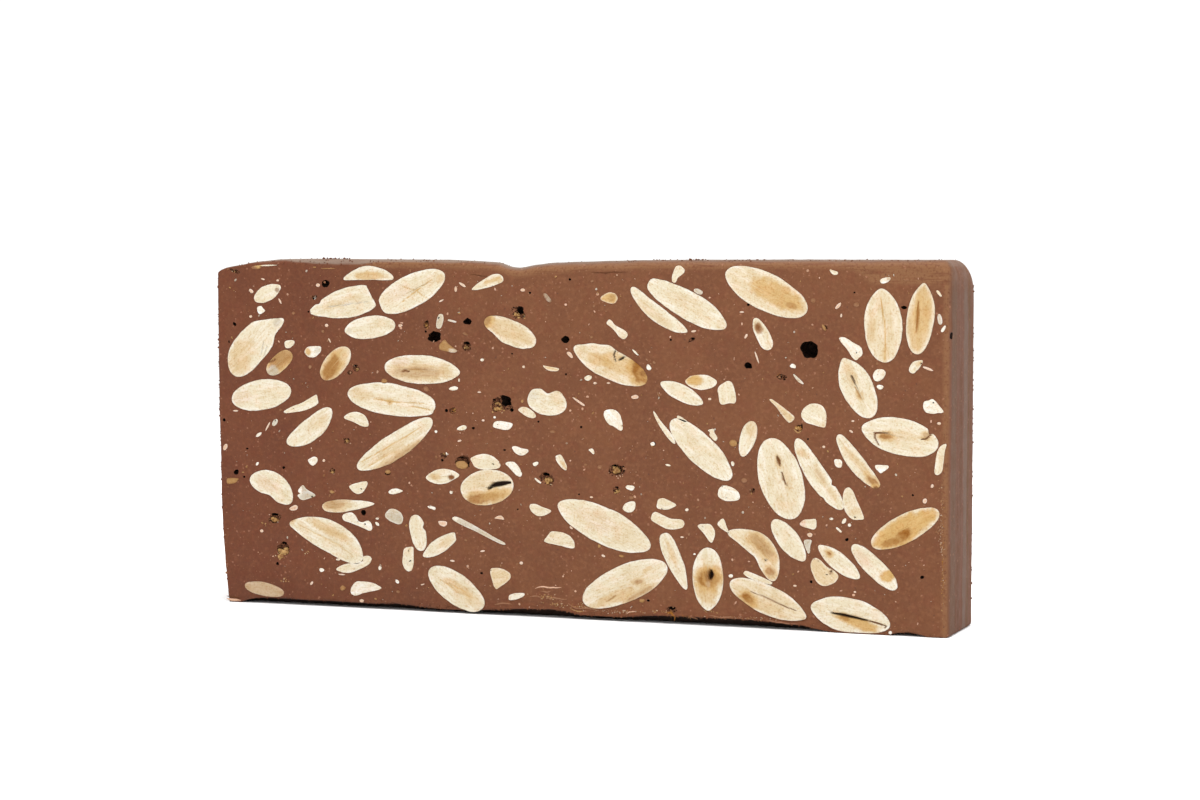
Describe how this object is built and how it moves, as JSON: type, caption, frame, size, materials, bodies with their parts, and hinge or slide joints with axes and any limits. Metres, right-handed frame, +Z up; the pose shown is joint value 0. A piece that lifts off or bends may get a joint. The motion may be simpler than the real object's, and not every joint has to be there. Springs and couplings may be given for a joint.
{
  "type": "nougat bar",
  "caption": "Rectangular bar of chocolate nougat, sawn flat on both broad faces so that whole and broken almonds show in section, with moulded plain ends and top.",
  "frame": {"origin": "middle of the narrow long side that the bar stands on", "axes": "+X along the bar, +Y from the front face to the back face, +Z up"},
  "size_m": [0.1869, 0.024, 0.086],
  "materials": {
    "chocolate": "satin milk chocolate, smooth where sawn, with grey bloom on the moulded sides",
    "almond": "matt cream almond flesh with fine fibre lines",
    "toasted_almond": "matt golden almond flesh"
  },
  "bodies": {
    "root": {"nougat": "chocolate", "almond_front_01": "almond", "almond_front_02": "almond", "almond_front_03": "toasted_almond", "almond_front_04": "toasted_almond", "almond_front_05": "almond", "almond_front_06": "almond", "almond_front_07": "almond", "almond_front_08": "almond", "almond_front_09": "almond", "almond_front_10": "almond", "almond_front_11": "almond", "almond_front_12": "toasted_almond", "almond_front_13": "almond", "almond_front_14": "almond", "almond_front_15": "almond", "almond_front_16": "almond", "almond_front_17": "almond", "almond_front_18": "almond", "almond_front_19": "almond", "almond_front_20": "almond", "almond_front_21": "almond", "almond_front_22": "toasted_almond", "almond_front_23": "almond", "almond_front_24": "almond", "almond_front_25": "almond", "almond_front_26": "almond", "almond_front_27": "almond", "almond_front_28": "toasted_almond", "almond_front_29": "almond", "almond_front_30": "almond", "almond_front_31": "almond", "almond_front_32": "almond", "almond_front_33": "almond", "almond_front_34": "almond", "almond_front_35": "almond", "almond_front_36": "almond", "almond_front_37": "almond", "almond_front_38": "almond", "almond_front_39": "almond", "almond_front_40": "almond", "almond_front_41": "almond", "almond_front_42": "almond", "almond_front_43": "almond", "almond_front_44": "almond", "almond_front_45": "almond", "almond_front_46": "toasted_almond", "almond_front_47": "almond", "almond_back_01": "almond", "almond_back_02": "almond", "almond_back_03": "almond", "almond_back_04": "almond", "almond_back_05": "almond", "almond_back_06": "almond", "almond_back_07": "almond", "almond_back_08": "almond", "almond_back_09": "almond", "almond_back_10": "almond", "almond_back_11": "almond", "almond_back_12": "toasted_almond"}
  },
  "joints": []
}
